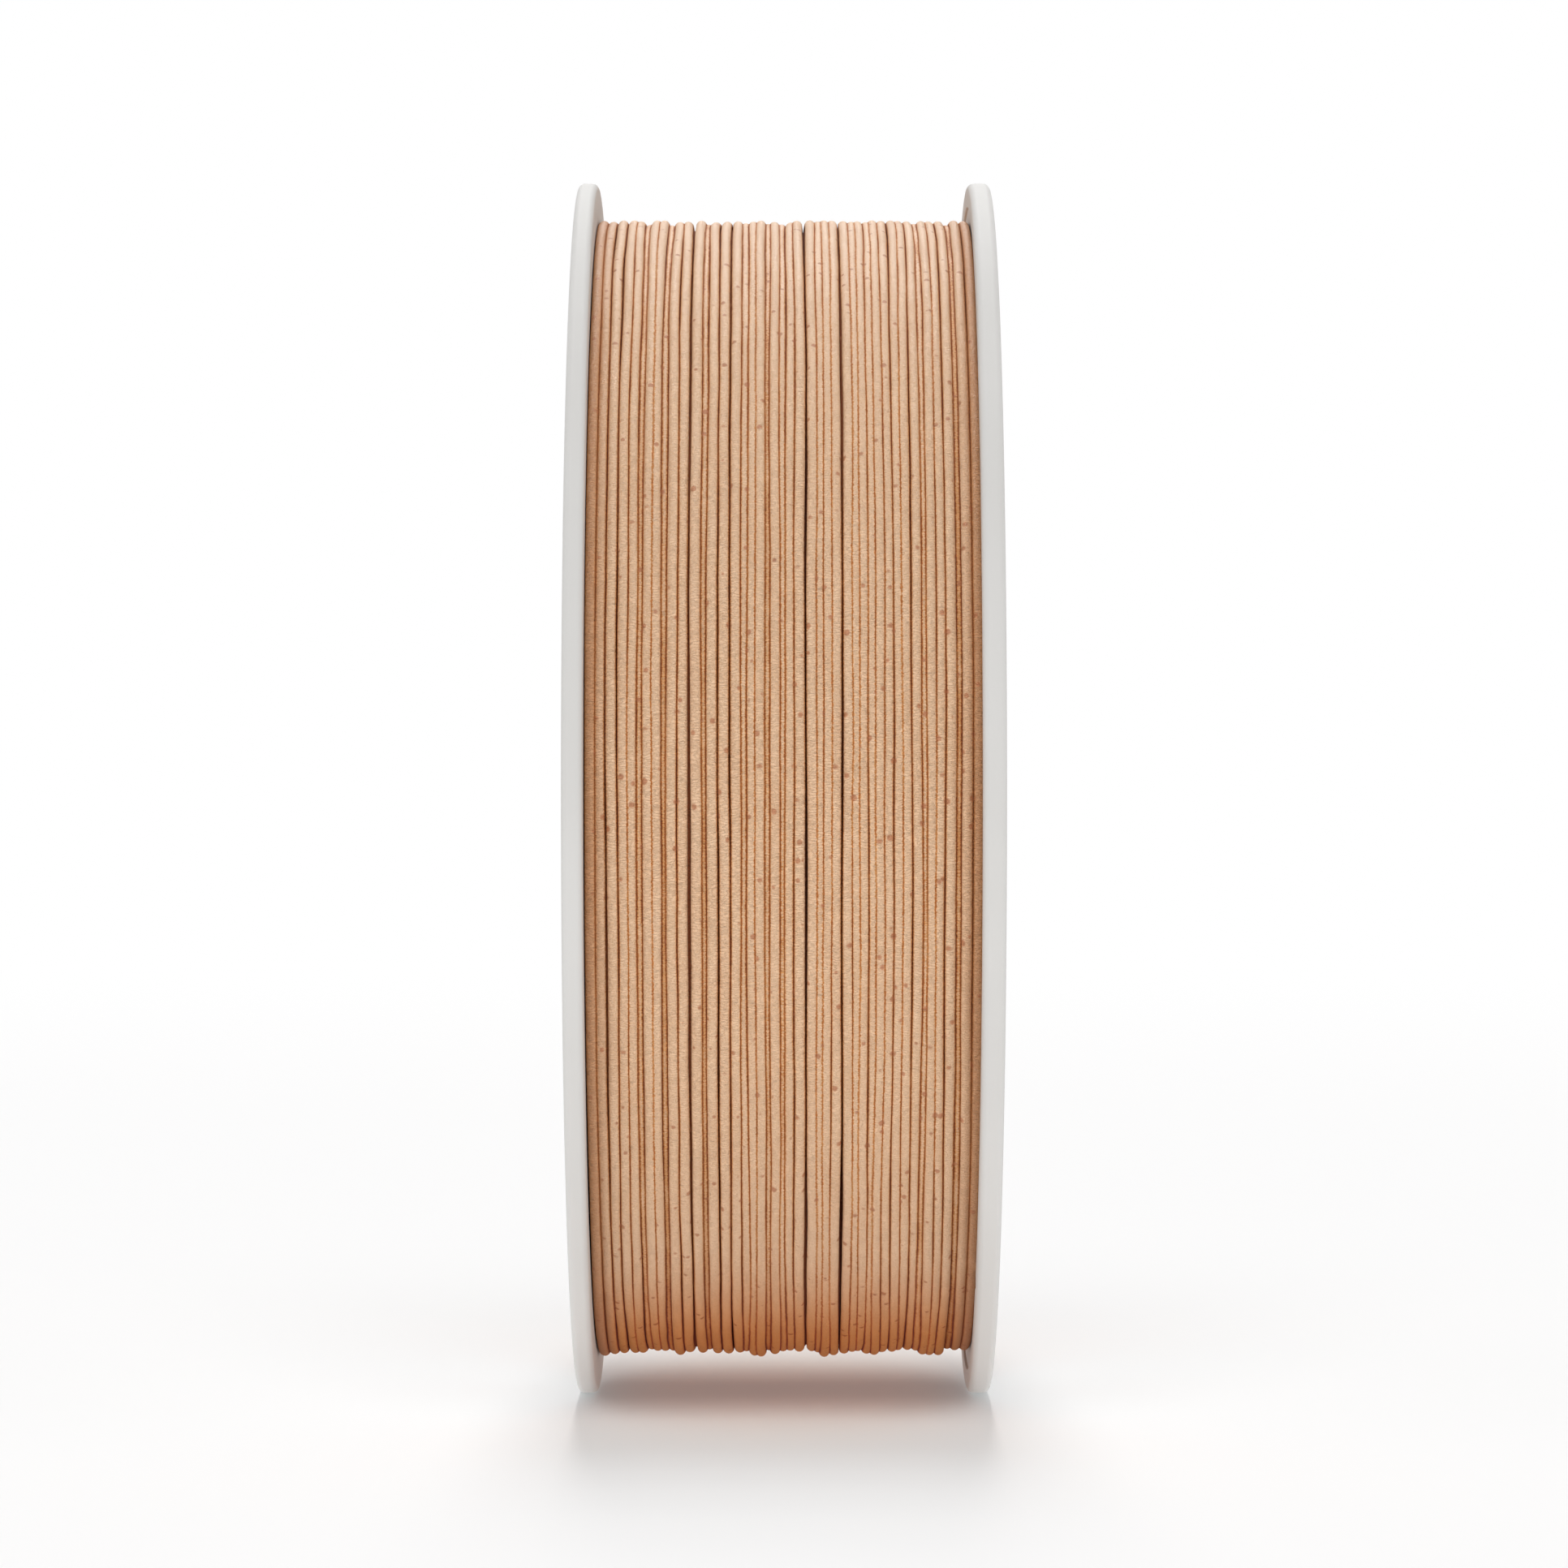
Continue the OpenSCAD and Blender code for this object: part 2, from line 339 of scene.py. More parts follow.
# %% Turn a drawing into a piece
def piece(name, bm, material, body, slot, *nodes, smooth_to=40):
    bm.transform(LAID @ Matrix.Scale(MM, 4))
    left_open = sum(len(e.link_faces) != 2 for e in bm.edges)
    mesh = bpy.data.meshes.new(name)
    bm.to_mesh(mesh)
    bm.free()
    mesh.materials.append(material)
    mesh.shade_smooth()
    mesh.set_sharp_from_angle(angle=math.radians(smooth_to))
    obj = bpy.data.objects.new(name, mesh)
    scene.collection.objects.link(obj)
    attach(obj, body)
    if nodes:
        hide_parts(*nodes)
    triangles = sum(len(p.vertices) - 2 for p in mesh.polygons)
    print(f"{name}: {triangles} triangles, {left_open} open edges")
    return obj


def even_faces(obj):
    obj.modifiers.new("even_faces", "WEIGHTED_NORMAL").keep_sharp = True


print("pieces can be laid along the axle")

# %% [markdown]
# ## Moulded plastic
# The halves are moulded in a warm off-white plastic with a satin, very finely eroded surface. Its
# colour is almost even, so the finish comes from a soft cloud of lighter and darker places, a
# fine grain in the bump and a roughness that wanders a little, as it does on a real moulding.

# %% Satin plastic
plastic, finish = new_material("satin_plastic")
place = finish.add("ShaderNodeTexCoord", out="Object")
cloud = finish.noise(place, 28, detail=3)
grain = finish.noise(place, 2600, detail=2)
tone = finish.blend(finish.smooth(cloud, 0.3, 0.7), (0.64, 0.629, 0.611), (0.665, 0.655, 0.638))
finish.surface({
    "Base Color": finish.blend(grain * 0.05, tone, (0.54, 0.53, 0.51)),
    "Roughness": 0.58 + cloud * 0.12,
    "Specular IOR Level": 0.22,
    "Normal": finish.bump(grain, 0.00004, 0.35),
})
print("satin plastic has", len(finish.tree.nodes), "nodes")

# %% [markdown]
# ## Turned shapes
# Rims, collars and tubes are the same all the way round. Each is a closed half-section whose
# corners are rounded by a vertex bevel, spun once round the axis. The rounding is drawn in the
# section, where it costs a few vertices, and not bevelled on the finished ring.

# %% Spin a rounded section
def section(corners, segments=4):
    """A closed half-section from (out from the axis, along it, rounding) corners."""
    bm = bmesh.new()
    verts = [bm.verts.new((out, 0, along)) for out, along, _ in corners]
    bm.faces.new(verts)
    for size in sorted({c[2] for c in corners if c[2] > 0}):
        bmesh.ops.bevel(bm, geom=[v for v, c in zip(verts, corners) if c[2] == size],
                        offset=size, offset_type="OFFSET", segments=segments, profile=0.5,
                        affect="VERTICES", clamp_overlap=False, material=-1)
    bmesh.ops.delete(bm, geom=bm.faces[:], context="FACES_ONLY")
    return bm


def spun(bm, steps=192, degrees=360, start=0):
    bm.transform(round_axis(start))
    bmesh.ops.spin(bm, geom=bm.verts[:] + bm.edges[:], cent=(0, 0, 0), axis=ALONG,
                   dvec=(0, 0, 0), angle=math.radians(degrees), steps=steps,
                   use_merge=degrees == 360, use_duplicate=False)
    return tidy(bm)


print("sections can be spun")


# %% Flange discs
def flange_section(face, side, lip):
    """face is the flange's inner face, side is -1 for the left one and 1 for the right one."""
    outer, web = face + side * FLANGE_T, face + side * (FLANGE_T - WEB_RECESS)
    rim = [(FLANGE_R, face - side * lip, 1.0), (FLANGE_R, outer, 1.0), (BAND_R, outer, 0.5),
           (BAND_R, web, 0.3), (SLEEVE_R, web, 0.3), (SLEEVE_R, outer, 0.5),
           (SPIGOT_R, outer, 0.5), (SPIGOT_R, web, 0.3), (LAND_R, web, 0.3),
           (LAND_R, outer, 0.5), (BORE_R, outer, 0.9), (BORE_R, face, 0)]
    if lip:
        rim += [(LIP_R, face, 0.1), (LIP_R, face - side * lip, 0.3)]
    return section(rim)


left_disc = spun(flange_section(LEFT_FACE, -1, 0))
right_disc = spun(flange_section(RIGHT_FACE, 1, LIP_H))
print("discs have", len(left_disc.faces), "and", len(right_disc.faces), "faces")

# %% [markdown]
# ## Windows and tail holes
# Six windows lighten each flange and show how much strand is left, and two small holes in the
# right one hold the strand's tail. A bevel on a cut edge would break where the cut crosses the
# spun faces, so each cutter is a plug that flares at both of the faces that it cuts through: one
# exact Boolean then leaves a hole whose edges are already rounded.

# %% Flared plugs
def plug(outline, size, faces, flare=0.5, steps=4):
    """outline is a mesh with one flat face; size its two widths; faces the two levels it cuts."""
    low, high = sorted(faces)
    levels = [(low - 1, flare)]
    for i in range(steps + 1):
        turn = math.pi / 2 * i / steps
        levels.append((low + flare * (1 - math.cos(turn)), flare * (1 - math.sin(turn))))
    levels += [(low + high - along, grow) for along, grow in reversed(levels)]
    bm, now = outline, (1, 1)
    bmesh.ops.translate(bm, verts=bm.verts, vec=ALONG * levels[0][0])
    top = bm.faces[:]
    for (along, grow), before in zip(levels, [None] + levels[:-1]):
        if before:
            under = top
            top = [f for f in bmesh.ops.extrude_face_region(bm, geom=under)["geom"]
                   if isinstance(f, bmesh.types.BMFace)]
            bmesh.ops.delete(bm, geom=under, context="FACES_ONLY")
            bmesh.ops.translate(bm, verts=top[0].verts, vec=ALONG * (along - before[0]))
        wanted = tuple(1 + 2 * grow / width for width in size)
        bmesh.ops.scale(bm, verts=top[0].verts, vec=(wanted[0] / now[0], wanted[1] / now[1], 1))
        now = wanted
    return tidy(bm)


print("plugs can be drawn")


# %% Copies round the axis, and carving
def repeated(bm, places, out=0):
    """Copies of a drawing, moved out from the axis and turned to each place."""
    bmesh.ops.translate(bm, verts=bm.verts, vec=(out, 0, 0))
    drawn = bm.verts[:] + bm.edges[:] + bm.faces[:]
    copies = [bmesh.ops.duplicate(bm, geom=drawn)["geom"] for _ in places[1:]]
    for copy, at in zip(copies + [drawn], (*places[1:], places[0])):
        bmesh.ops.rotate(bm, verts=verts_of(copy), cent=(0, 0, 0),
                         matrix=Matrix.Rotation(math.radians(at), 3, "Z"))
    return bm


def carved(solid, *cutters):
    """Takes the cutters out of the solid with an exact Boolean."""
    objects = []
    for bm in (solid, *cutters):
        mesh = bpy.data.meshes.new("carving")
        bm.to_mesh(mesh)
        bm.free()
        objects.append(bpy.data.objects.new("carving", mesh))
        scene.collection.objects.link(objects[-1])
    for tool in objects[1:]:
        cut = objects[0].modifiers.new("cut", "BOOLEAN")
        cut.operation, cut.solver, cut.object = "DIFFERENCE", "EXACT", tool
    result = bmesh.new()
    result.from_object(objects[0], bpy.context.evaluated_depsgraph_get())
    for obj in objects:
        bpy.data.meshes.remove(obj.data)
    return result


print("drawings can be repeated and carved")

# %% Cutters for the windows and the tail holes
WINDOW_SIZE, WINDOW_CORNER, WINDOW_OUT = (30, 18), 6, 72
WINDOW_PLACES = [60 * i for i in range(6)]
TAIL_HOLE, TAIL_OUT = 4.2, 95.2
TAIL_PLACES = (-36, 144)


def windows(face, side):
    """The windows go through the web, which is thinner than the rim."""
    bm = bmesh.new()
    bmesh.ops.create_grid(bm, x_segments=1, y_segments=1, size=0.5)
    bmesh.ops.scale(bm, verts=bm.verts, vec=(*WINDOW_SIZE, 1))
    bmesh.ops.bevel(bm, geom=bm.verts[:], offset=WINDOW_CORNER, offset_type="OFFSET",
                    segments=10, profile=0.5, affect="VERTICES", material=-1)
    web_faces = (face, face + side * FLANGE_T - side * WEB_RECESS)
    return repeated(plug(bm, WINDOW_SIZE, web_faces), WINDOW_PLACES, out=WINDOW_OUT)


def tail_holes():
    """The tail holes go through the rim band and the lip."""
    bm = bmesh.new()
    bmesh.ops.create_circle(bm, cap_ends=True, segments=28, radius=TAIL_HOLE / 2)
    rim_faces = (RIGHT_FACE - LIP_H, RIGHT_FACE + FLANGE_T)
    return repeated(plug(bm, (TAIL_HOLE, TAIL_HOLE), rim_faces, flare=0.3), TAIL_PLACES,
                    out=TAIL_OUT)


print(len(WINDOW_PLACES), "windows in each flange and", len(TAIL_PLACES), "tail holes")

# %% Cut both flanges
left_disc = carved(left_disc, windows(LEFT_FACE, -1))
right_disc = carved(right_disc, windows(RIGHT_FACE, 1), tail_holes())
even_faces(piece("left_flange_moulding", left_disc, plastic, "left_half", "reel_plastic",
                 "left_flange"))
even_faces(piece("right_flange_moulding", right_disc, plastic, "right_half", "reel_plastic",
                 "right_flange"))


# %% [markdown]
# ## Ribs
# A thin web would warp as it cools, so six ribs run from the ring over the sleeve to the rim band,
# one between each two windows. Each is a cube stretched to a bar and bevelled all round; its foot
# is sunk in the web, as if both had come out of one mould.

# %% Bevelled bars
def bars(places, low, high, width, inner, outer, rounding):
    """Bars between two levels along the axis, from one radius out to another."""
    bm = bmesh.new()
    bmesh.ops.create_cube(bm, size=1)
    bmesh.ops.scale(bm, verts=bm.verts, vec=(outer - inner, width, high - low))
    bmesh.ops.translate(bm, verts=bm.verts, vec=(0, 0, (low + high) / 2))
    bmesh.ops.bevel(bm, geom=bm.edges[:], offset=rounding, offset_type="OFFSET",
                    segments=3, profile=0.5, affect="EDGES", material=-1)
    return repeated(bm, places, out=(inner + outer) / 2)


RIB_PLACES = [30 + 60 * i for i in range(6)]
RIB_WIDTH, RIB_IN, RIB_OUT, RIB_SUNK = 3, 48.9, 95.5, 0.6
for name, face, side in (("left", LEFT_FACE, -1), ("right", RIGHT_FACE, 1)):
    low, high = sorted((face + side * FLANGE_T,
                        face + side * (FLANGE_T - WEB_RECESS - RIB_SUNK)))
    ribs = bars(RIB_PLACES, low, high, RIB_WIDTH, RIB_IN, RIB_OUT, 0.45)
    even_faces(piece(f"{name}_web_ribs", ribs, plastic, f"{name}_half", "reel_plastic"))

# %% [markdown]
# ## Collars and the twist lock
# A collar steadies the reel on its spindle. The left half carries a sleeve with three L-shaped
# slots and three keys, the right half a spigot with three lugs. The sleeve is spun as a skin in
# stretches that end at the slots' edges, the slots are deleted from it, and Solidify gives the
# wall, so that every slot edge is clean and can be bevelled. Until then the skin's own edges are
# open, and its line below says so.

# %% Collars
COLLAR_R, COLLAR_H, FILLET = 30.0, 8, 0.6
for name, face, side in (("left", LEFT_FACE, 1), ("right", RIGHT_FACE, -1)):
    foot, end = face - side * SUNK, face + side * COLLAR_H
    ring = section([(BORE_R, foot, 0), (COLLAR_R + FILLET, foot, 0),
                    (COLLAR_R, face + side * (FILLET + 0.1), 0.3),
                    (COLLAR_R, end, 0.7), (BORE_R, end, 0.7)])
    piece(f"{name}_bore_collar", spun(ring, 128), plastic, f"{name}_half", "reel_plastic",
          f"{name}_collar")

# %% Sleeve spun as a skin
SLOT_HALF, LOCK_TURN, THIRD = 5.665, 30, 120        # degrees
SLOT_LOW, SLOT_HIGH = 11.95, 17.15
bm = bmesh.new()
levels = [LEFT_FACE - SUNK, -20, -10, 0, SLOT_LOW, SLOT_HIGH, SLEEVE_END]
line = [bm.verts.new(((SLEEVE_IN + SLEEVE_R) / 2, 0, along)) for along in levels]
strip = line + [bm.edges.new(pair) for pair in zip(line, line[1:])]
bm.transform(round_axis(LUG_PLACES[0] - SLOT_HALF))
stretches = ((2 * SLOT_HALF, 4), (LOCK_TURN, 10), (THIRD - 2 * SLOT_HALF - LOCK_TURN, 26))
for degrees, steps in stretches * 3:
    strip = bmesh.ops.spin(bm, geom=strip, cent=(0, 0, 0), axis=ALONG, dvec=(0, 0, 0),
                           angle=math.radians(degrees), steps=steps, use_merge=False,
                           use_duplicate=False)["geom_last"]
bmesh.ops.remove_doubles(bm, verts=bm.verts, dist=1e-4)
print("the sleeve's skin has", len(bm.faces), "faces before its slots are cut")


# %% Slots, wall and keys of the sleeve
def in_slot(face):
    middle = face.calc_center_median()
    turn = math.degrees(math.atan2(middle.y, middle.x)) % THIRD - LUG_PLACES[0]
    mouth = abs(turn) < SLOT_HALF and middle.z > SLOT_LOW
    branch = SLOT_HALF < turn < SLOT_HALF + LOCK_TURN and SLOT_LOW < middle.z < SLOT_HIGH
    return mouth or branch


bmesh.ops.delete(bm, geom=[f for f in bm.faces if in_slot(f)], context="FACES")
bmesh.ops.recalc_face_normals(bm, faces=bm.faces)
sleeve = piece("left_core_sleeve", bm, plastic, "left_half", "reel_plastic", "left_sleeve")
wall = sleeve.modifiers.new("wall", "SOLIDIFY")
wall.thickness, wall.offset = (SLEEVE_R - SLEEVE_IN) * MM, 0
edge = sleeve.modifiers.new("edge", "BEVEL")
edge.width, edge.segments, edge.limit_method, edge.angle_limit = 0.35 * MM, 2, "ANGLE", 0.9
KEY_WIDTH, KEY_IN, KEY_OUT = 5, 48.4, 50.8
keys = bars(KEY_PLACES, LEFT_FACE + 1, SLEEVE_END - 1, KEY_WIDTH, KEY_IN, KEY_OUT, 0.5)
even_faces(piece("left_sleeve_keys", keys, plastic, "left_half", "reel_plastic"))

# %% Spigot with its lugs
ring = section([(SPIGOT_IN, SPIGOT_END, 0.6), (SPIGOT_R, SPIGOT_END, 0.9),
                (SPIGOT_R, RIGHT_FACE + SUNK, 0), (SPIGOT_IN, RIGHT_FACE + SUNK, 0)])
piece("right_lock_spigot", spun(ring, 144), plastic, "right_half", "reel_plastic", "right_spigot")
LUG_HALF = 4.924                                    # degrees
LUG_IN, LUG_OUT, LUG_LOW, LUG_HIGH = SPIGOT_R - 0.3, 49.1, 12.55, 16.55
bm = section([(LUG_IN, LUG_LOW, 0), (LUG_OUT, LUG_LOW, 0.5), (LUG_OUT, LUG_HIGH, 0.5),
              (LUG_IN, LUG_HIGH, 0)], segments=3)
lug = spun(bm, steps=6, degrees=2 * LUG_HALF, start=-LUG_HALF)
piece("right_lock_lugs", repeated(lug, LUG_PLACES), plastic, "right_half", "reel_plastic")

# %% [markdown]
# ## Cardboard core
# The refill is wound on a tube of brown paper, glued in spiral plies. It is a spun ring like the
# collars; three keyways are cut in its bore for the sleeve's keys. Its finish is drawn one by one:
# long fibres that follow the wall, darker lines where the paper's edges meet on the spiral, and
# thin rings on the cut ends, where the plies show.

# %% Spiral-wound paper
SPIRAL_LEAD, PLY = 42, 0.5
paper, finish = new_material("wound_paper")
place = finish.add("ShaderNodeTexCoord", out="Object")
axes = finish.add("ShaderNodeSeparateXYZ", None, {0: place}, out="X")
from_axle = finish.distance(finish.stretched(place, (0, 1, 1)))
around = axes.output("Y").maths("ARCTAN2", axes.output("Z"))
fibres = finish.noise(finish.stretched(place, (300, 900, 900)), 1, detail=4, roughness=0.65)
blotches = finish.noise(place, 90, detail=3)
spiral = (axes * (1 / (SPIRAL_LEAD * MM)) + around * (1 / TURN)).maths("FRACT")
seam = finish.smooth(spiral, 0.03, 0.0)
plies = (from_axle * (1 / (PLY * MM)) + blotches * 0.6).maths("FRACT")
wall_face = finish.smooth(from_axle, (CORE_R - 0.2) * MM, (CORE_R - 0.05) * MM) \
    + finish.smooth(from_axle, (CORE_IN + 0.2) * MM, (CORE_IN + 0.05) * MM)
tone = finish.blend(finish.smooth(fibres, 0.3, 0.7), (0.33, 0.215, 0.12), (0.47, 0.33, 0.2))
tone = finish.blend(finish.smooth(plies, 0.75, 0.95) * (1 - wall_face) * 0.45, tone,
                    (0.2, 0.125, 0.07))
finish.surface({
    "Base Color": finish.blend(seam * wall_face * 0.6, tone, (0.17, 0.1, 0.055)),
    "Roughness": 0.82,
    "Normal": finish.bump(fibres, 0.0002, 0.5),
})
print("wound paper has", len(finish.tree.nodes), "nodes")

# %% Core with its keyways
KEYWAY_WIDTH, KEYWAY_OUT = 5.8, 51.2
core = spun(section([(CORE_IN, CORE_LOW, 0.25), (CORE_R, CORE_LOW, 0.25),
                     (CORE_R, CORE_HIGH, 0.25), (CORE_IN, CORE_HIGH, 0.25)], segments=2), 144)
keyways = bars(KEY_PLACES, CORE_LOW - 1, CORE_HIGH + 1, KEYWAY_WIDTH, CORE_IN - 1, KEYWAY_OUT, 0.3)
even_faces(piece("paper_core", carved(core, keyways), paper, "refill", "core_board", "core_tube"))

# %% [markdown]
# ## Winding
# A full reel holds some two dozen layers. Only the outer one shows, with the one below it in the
# gaps, so these two are real helical tubes and the rest is one spun block with ridged ends, which
# shows through the windows. A strand never lies quite evenly: its neighbours press it aside and
# it sinks between two strands of the layer below. So the tube is first wound evenly with spin,
# and then each ring of it is moved to its own place and height. The places come from a seeded
# draw of three kinds of joint: pressed, touching and open. About one turn in four has sunk
# between its neighbours, which then close over it.

# %% Where each turn lies
draw = random.Random(11)
TURNS = 44
WALL_GAP = 0.05
PRESSED, TOUCHING, OPEN = (40, 1.05, 1.4), (33, 1.5, 1.72), (17, 1.8, 2.12)
JOINTS = (PRESSED, TOUCHING, OPEN)      # how often, then the least and the most spacing
SINKING = 0.26
spacings, heights, sunken = [], [0.1], False
for turn in range(TURNS - 1):
    was_sunken = sunken
    sunken = not sunken and 0 < turn < TURNS - 3 and draw.random() < SINKING
    _, least, most = draw.choices(JOINTS, weights=[joint[0] for joint in JOINTS])[0]
    if sunken or was_sunken:
        least, most = 1.12, 1.34
    spacings.append(draw.uniform(least, most))
    heights.append(draw.uniform(0.35, 0.9) if sunken else draw.uniform(0.0, 0.22))
first, last = LEFT_FACE + STRAND_R + WALL_GAP, RIGHT_FACE - STRAND_R - WALL_GAP
fit = (last - first) / sum(spacings)
middles = [first]
for spacing in spacings:
    middles.append(middles[-1] + spacing * fit)
middles = [middles[0]] + middles + [middles[-1]]
heights = [heights[0]] + heights + [heights[-1]]
print(f"{TURNS} turns, mean spacing {sum(spacings) * fit / len(spacings):.2f} mm")


# %% Path of the outer layer
SWAY, RIPPLE = 0.36, 0.1                # how far a strand wanders aside, slowly and quickly
SAG, DIMPLE = 0.3, 0.12                 # how far it sinks, slowly and quickly
FOOT_SAG, FOOT_SPREAD = 0.35, 0.9       # how much looser it lies at the foot
TUCK, TUCK_RATE = 2.4, 24               # each end dives into the winding in 1/24 of a turn


def eased(share, hold=0.3):
    """Keeps most of a strand's step to the next place for the back of the reel."""
    t = min(max((share - hold) / (1 - 2 * hold), 0), 1)
    return 0.3 * share + 0.7 * t * t * (3 - 2 * t)


def top_layer(s):
    """Place along the axis and distance out of the strand's middle, s turns from the front."""
    turn = int(s)
    share = eased(s - turn)
    at = Vector((1.3 * math.cos(TURN * s), 1.3 * math.sin(TURN * s), 0.45 * s))
    along = middles[turn] + (middles[turn + 1] - middles[turn]) * share
    sunk = heights[turn] + (heights[turn + 1] - heights[turn]) * share
    at_wall = min(1, 0.4 * min(s, TURNS + 1 - s))
    along += (SWAY * noise.noise(at * 1.6) + RIPPLE * noise.noise(at * 6)) * at_wall
    sunk += SAG * max(0, noise.noise(at + Vector((7, 3, 1))))
    sunk += DIMPLE * max(0, noise.noise(at * 7))
    at_foot = max(0, -math.cos(TURN * (s + 0.25))) ** 3
    sunk += at_foot * (FOOT_SAG + FOOT_SPREAD * noise.noise(at * 1.1 + Vector((2, 9, 4))))
    tuck = max(0, 1 - TUCK_RATE * min(s - 0.5, TURNS + 0.5 - s))
    return min(max(along, first), last), WOUND_R - STRAND_R - sunk - TUCK * tuck * tuck


for s in (1, TURNS / 2, TURNS):
    print("at turn", s, "the strand lies at", [round(v, 2) for v in top_layer(s)])

# %% Path of the layer under it
UNDER_TURNS, UNDER_DEPTH = 34, 1.5


def under_layer(s):
    pitch = (last - first) / (UNDER_TURNS - 1)
    wander = noise.noise(Vector((math.cos(TURN * s), math.sin(TURN * s), 3 + 0.7 * s)))
    return first + pitch * (s - 0.5) * (UNDER_TURNS - 1) / UNDER_TURNS + 0.2 * wander, \
        WOUND_R - STRAND_R - UNDER_DEPTH + 0.15 * wander


print("the layer under it has", UNDER_TURNS, "turns and lies", UNDER_DEPTH, "mm deeper")


# %% Wind a tube evenly
def wound(turns, steps, sides, pitch=1.0, thin=0.3):
    """An even helix of thin tube, from the back to the back."""
    bm = bmesh.new()
    bmesh.ops.create_circle(bm, cap_ends=False, segments=sides, radius=thin)
    bmesh.ops.rotate(bm, verts=bm.verts, cent=(0, 0, 0),
                     matrix=Matrix.Rotation(math.pi / 2, 3, "X"))
    bmesh.ops.translate(bm, verts=bm.verts, vec=(WOUND_R, 0, 0))
    bm.transform(round_axis(90))
    bmesh.ops.spin(bm, geom=bm.verts[:] + bm.edges[:], cent=(0, 0, 0), axis=ALONG,
                   dvec=ALONG * pitch / steps, angle=TURN, steps=steps,
                   use_merge=False, use_duplicate=False)
    drawn = bm.verts[:] + bm.edges[:] + bm.faces[:]
    for turn in range(1, turns):
        copy = bmesh.ops.duplicate(bm, geom=drawn)["geom"]
        bmesh.ops.translate(bm, verts=verts_of(copy), vec=ALONG * pitch * turn)
    bmesh.ops.remove_doubles(bm, verts=bm.verts, dist=1e-3)
    return bm


print("tubes can be wound")


# %% Let it settle
def settle(bm, path, turns, steps, covered, pitch=1.0):
    """Moves each ring of an even helix to the path, and stores how tightly and deep it lies."""
    rings = {i: path(i / steps) for i in range(steps // 2, (2 * turns + 1) * steps // 2 + 1)}
    clearance = bm.verts.layers.float.new("clearance")
    below = bm.verts.layers.float.new("below")
    seats = {}
    for v in bm.verts:
        share = (math.atan2(v.co.y, v.co.x) / TURN + 0.25) % 1
        s = round(v.co.z / pitch + 0.5 - share) + share
        ring = round(s * steps)
        side = math.atan2(v.co.z - pitch * (s - 0.5), math.hypot(v.co.x, v.co.y) - WOUND_R)
        side -= 0.4 * math.sin(side)    # more of the tube's sides lie where they show
        along, out = rings[ring]
        here = Vector((along + STRAND_R * math.sin(side), out + STRAND_R * math.cos(side)))
        beside = [n for n in (ring - steps, ring + steps) if n in rings]
        gaps = [(here - Vector(rings[n])).length - STRAND_R for n in beside]
        crest = max(rings[n][1] for n in (ring, *beside))
        v[clearance] = min(*gaps, here.x - LEFT_FACE, RIGHT_FACE - here.x)
        v[below] = covered + 0.35 * (crest - out) + STRAND_R * (1 - math.cos(side))
        turn = math.atan2(v.co.y, v.co.x)
        v.co = here.y * math.cos(turn), here.y * math.sin(turn), here.x
        seats[v.index] = (ring / steps * TURN * WOUND_R, side)
    return seats


print("tubes can settle")


# %% Map the strand's surface
def unwrapped(turns):
    """The turns of one face's corners, without the jump from pi to -pi."""
    jumps = max(turns) - min(turns) > math.pi
    return [turn + TURN if jumps and turn < 0 else turn for turn in turns]


def map_strand(bm, seats):
    """UV in millimetres: along the strand, and round it from its inner side."""
    uv = bm.loops.layers.uv.new("strand")
    for face in bm.faces:
        sides = unwrapped([seats[loop.vert.index][1] for loop in face.loops])
        for loop, side in zip(face.loops, sides):
            loop[uv].uv = seats[loop.vert.index][0], side * STRAND_R


print("tubes can be mapped")

# %% Outer layer and the one under it
strand, finish = new_material("wood_filled_strand")
for name, path, turns, steps, sides, covered, nodes in (
        ("wound_top_layer", top_layer, TURNS, 144, 14, 0, ["strand_outer_turns"]),
        ("wound_under_layer", under_layer, UNDER_TURNS, 96, 8, UNDER_DEPTH, [])):
    bm = wound(turns, steps, sides)
    map_strand(bm, settle(bm, path, turns, steps, covered))
    tidy(bm)
    piece(name, bm, strand, "refill", "strand", *nodes, smooth_to=80)

# %% [markdown]
# ## Inner layers
# Layer after layer ends at the flange, now a little short of it, now a little nearer. The block's
# section is a row of half-round ends, one to a layer, and after the spin each ridge is let wander
# along the axis, because two ends of a layer never lie the same all the way round.

# %% Ridged block of inner layers
LAYER, LAYERS, LOWEST = 1.55, 24, CORE_R + 0.9
bm = bmesh.new()
clearance = bm.verts.layers.float.new("clearance")
below = bm.verts.layers.float.new("below")
outline = []
for side, end in ((1, WOUND_HIGH), (-1, WOUND_LOW)):
    for layer in range(LAYERS)[::side]:
        out = LOWEST + LAYER * layer
        short = 0.15 + draw.uniform(0, 0.35) + 0.3 * (layer % 2)
        for bend in range(-75, 76, 30):
            bend = math.radians(bend * side)
            vert = bm.verts.new((out + STRAND_R * 0.9 * math.sin(bend), 0,
                                 end - side * (short + STRAND_R * (1 - math.cos(bend)))))
            vert[clearance] = 0.5 * math.cos(bend) ** 2
            vert[below] = 0.35 + short * 0.6
            outline.append(vert)
for pair in zip(outline, outline[1:] + outline[:1]):
    bm.edges.new(pair)
spun(bm, 120)
print("the block of inner layers has", len(bm.faces), "faces")

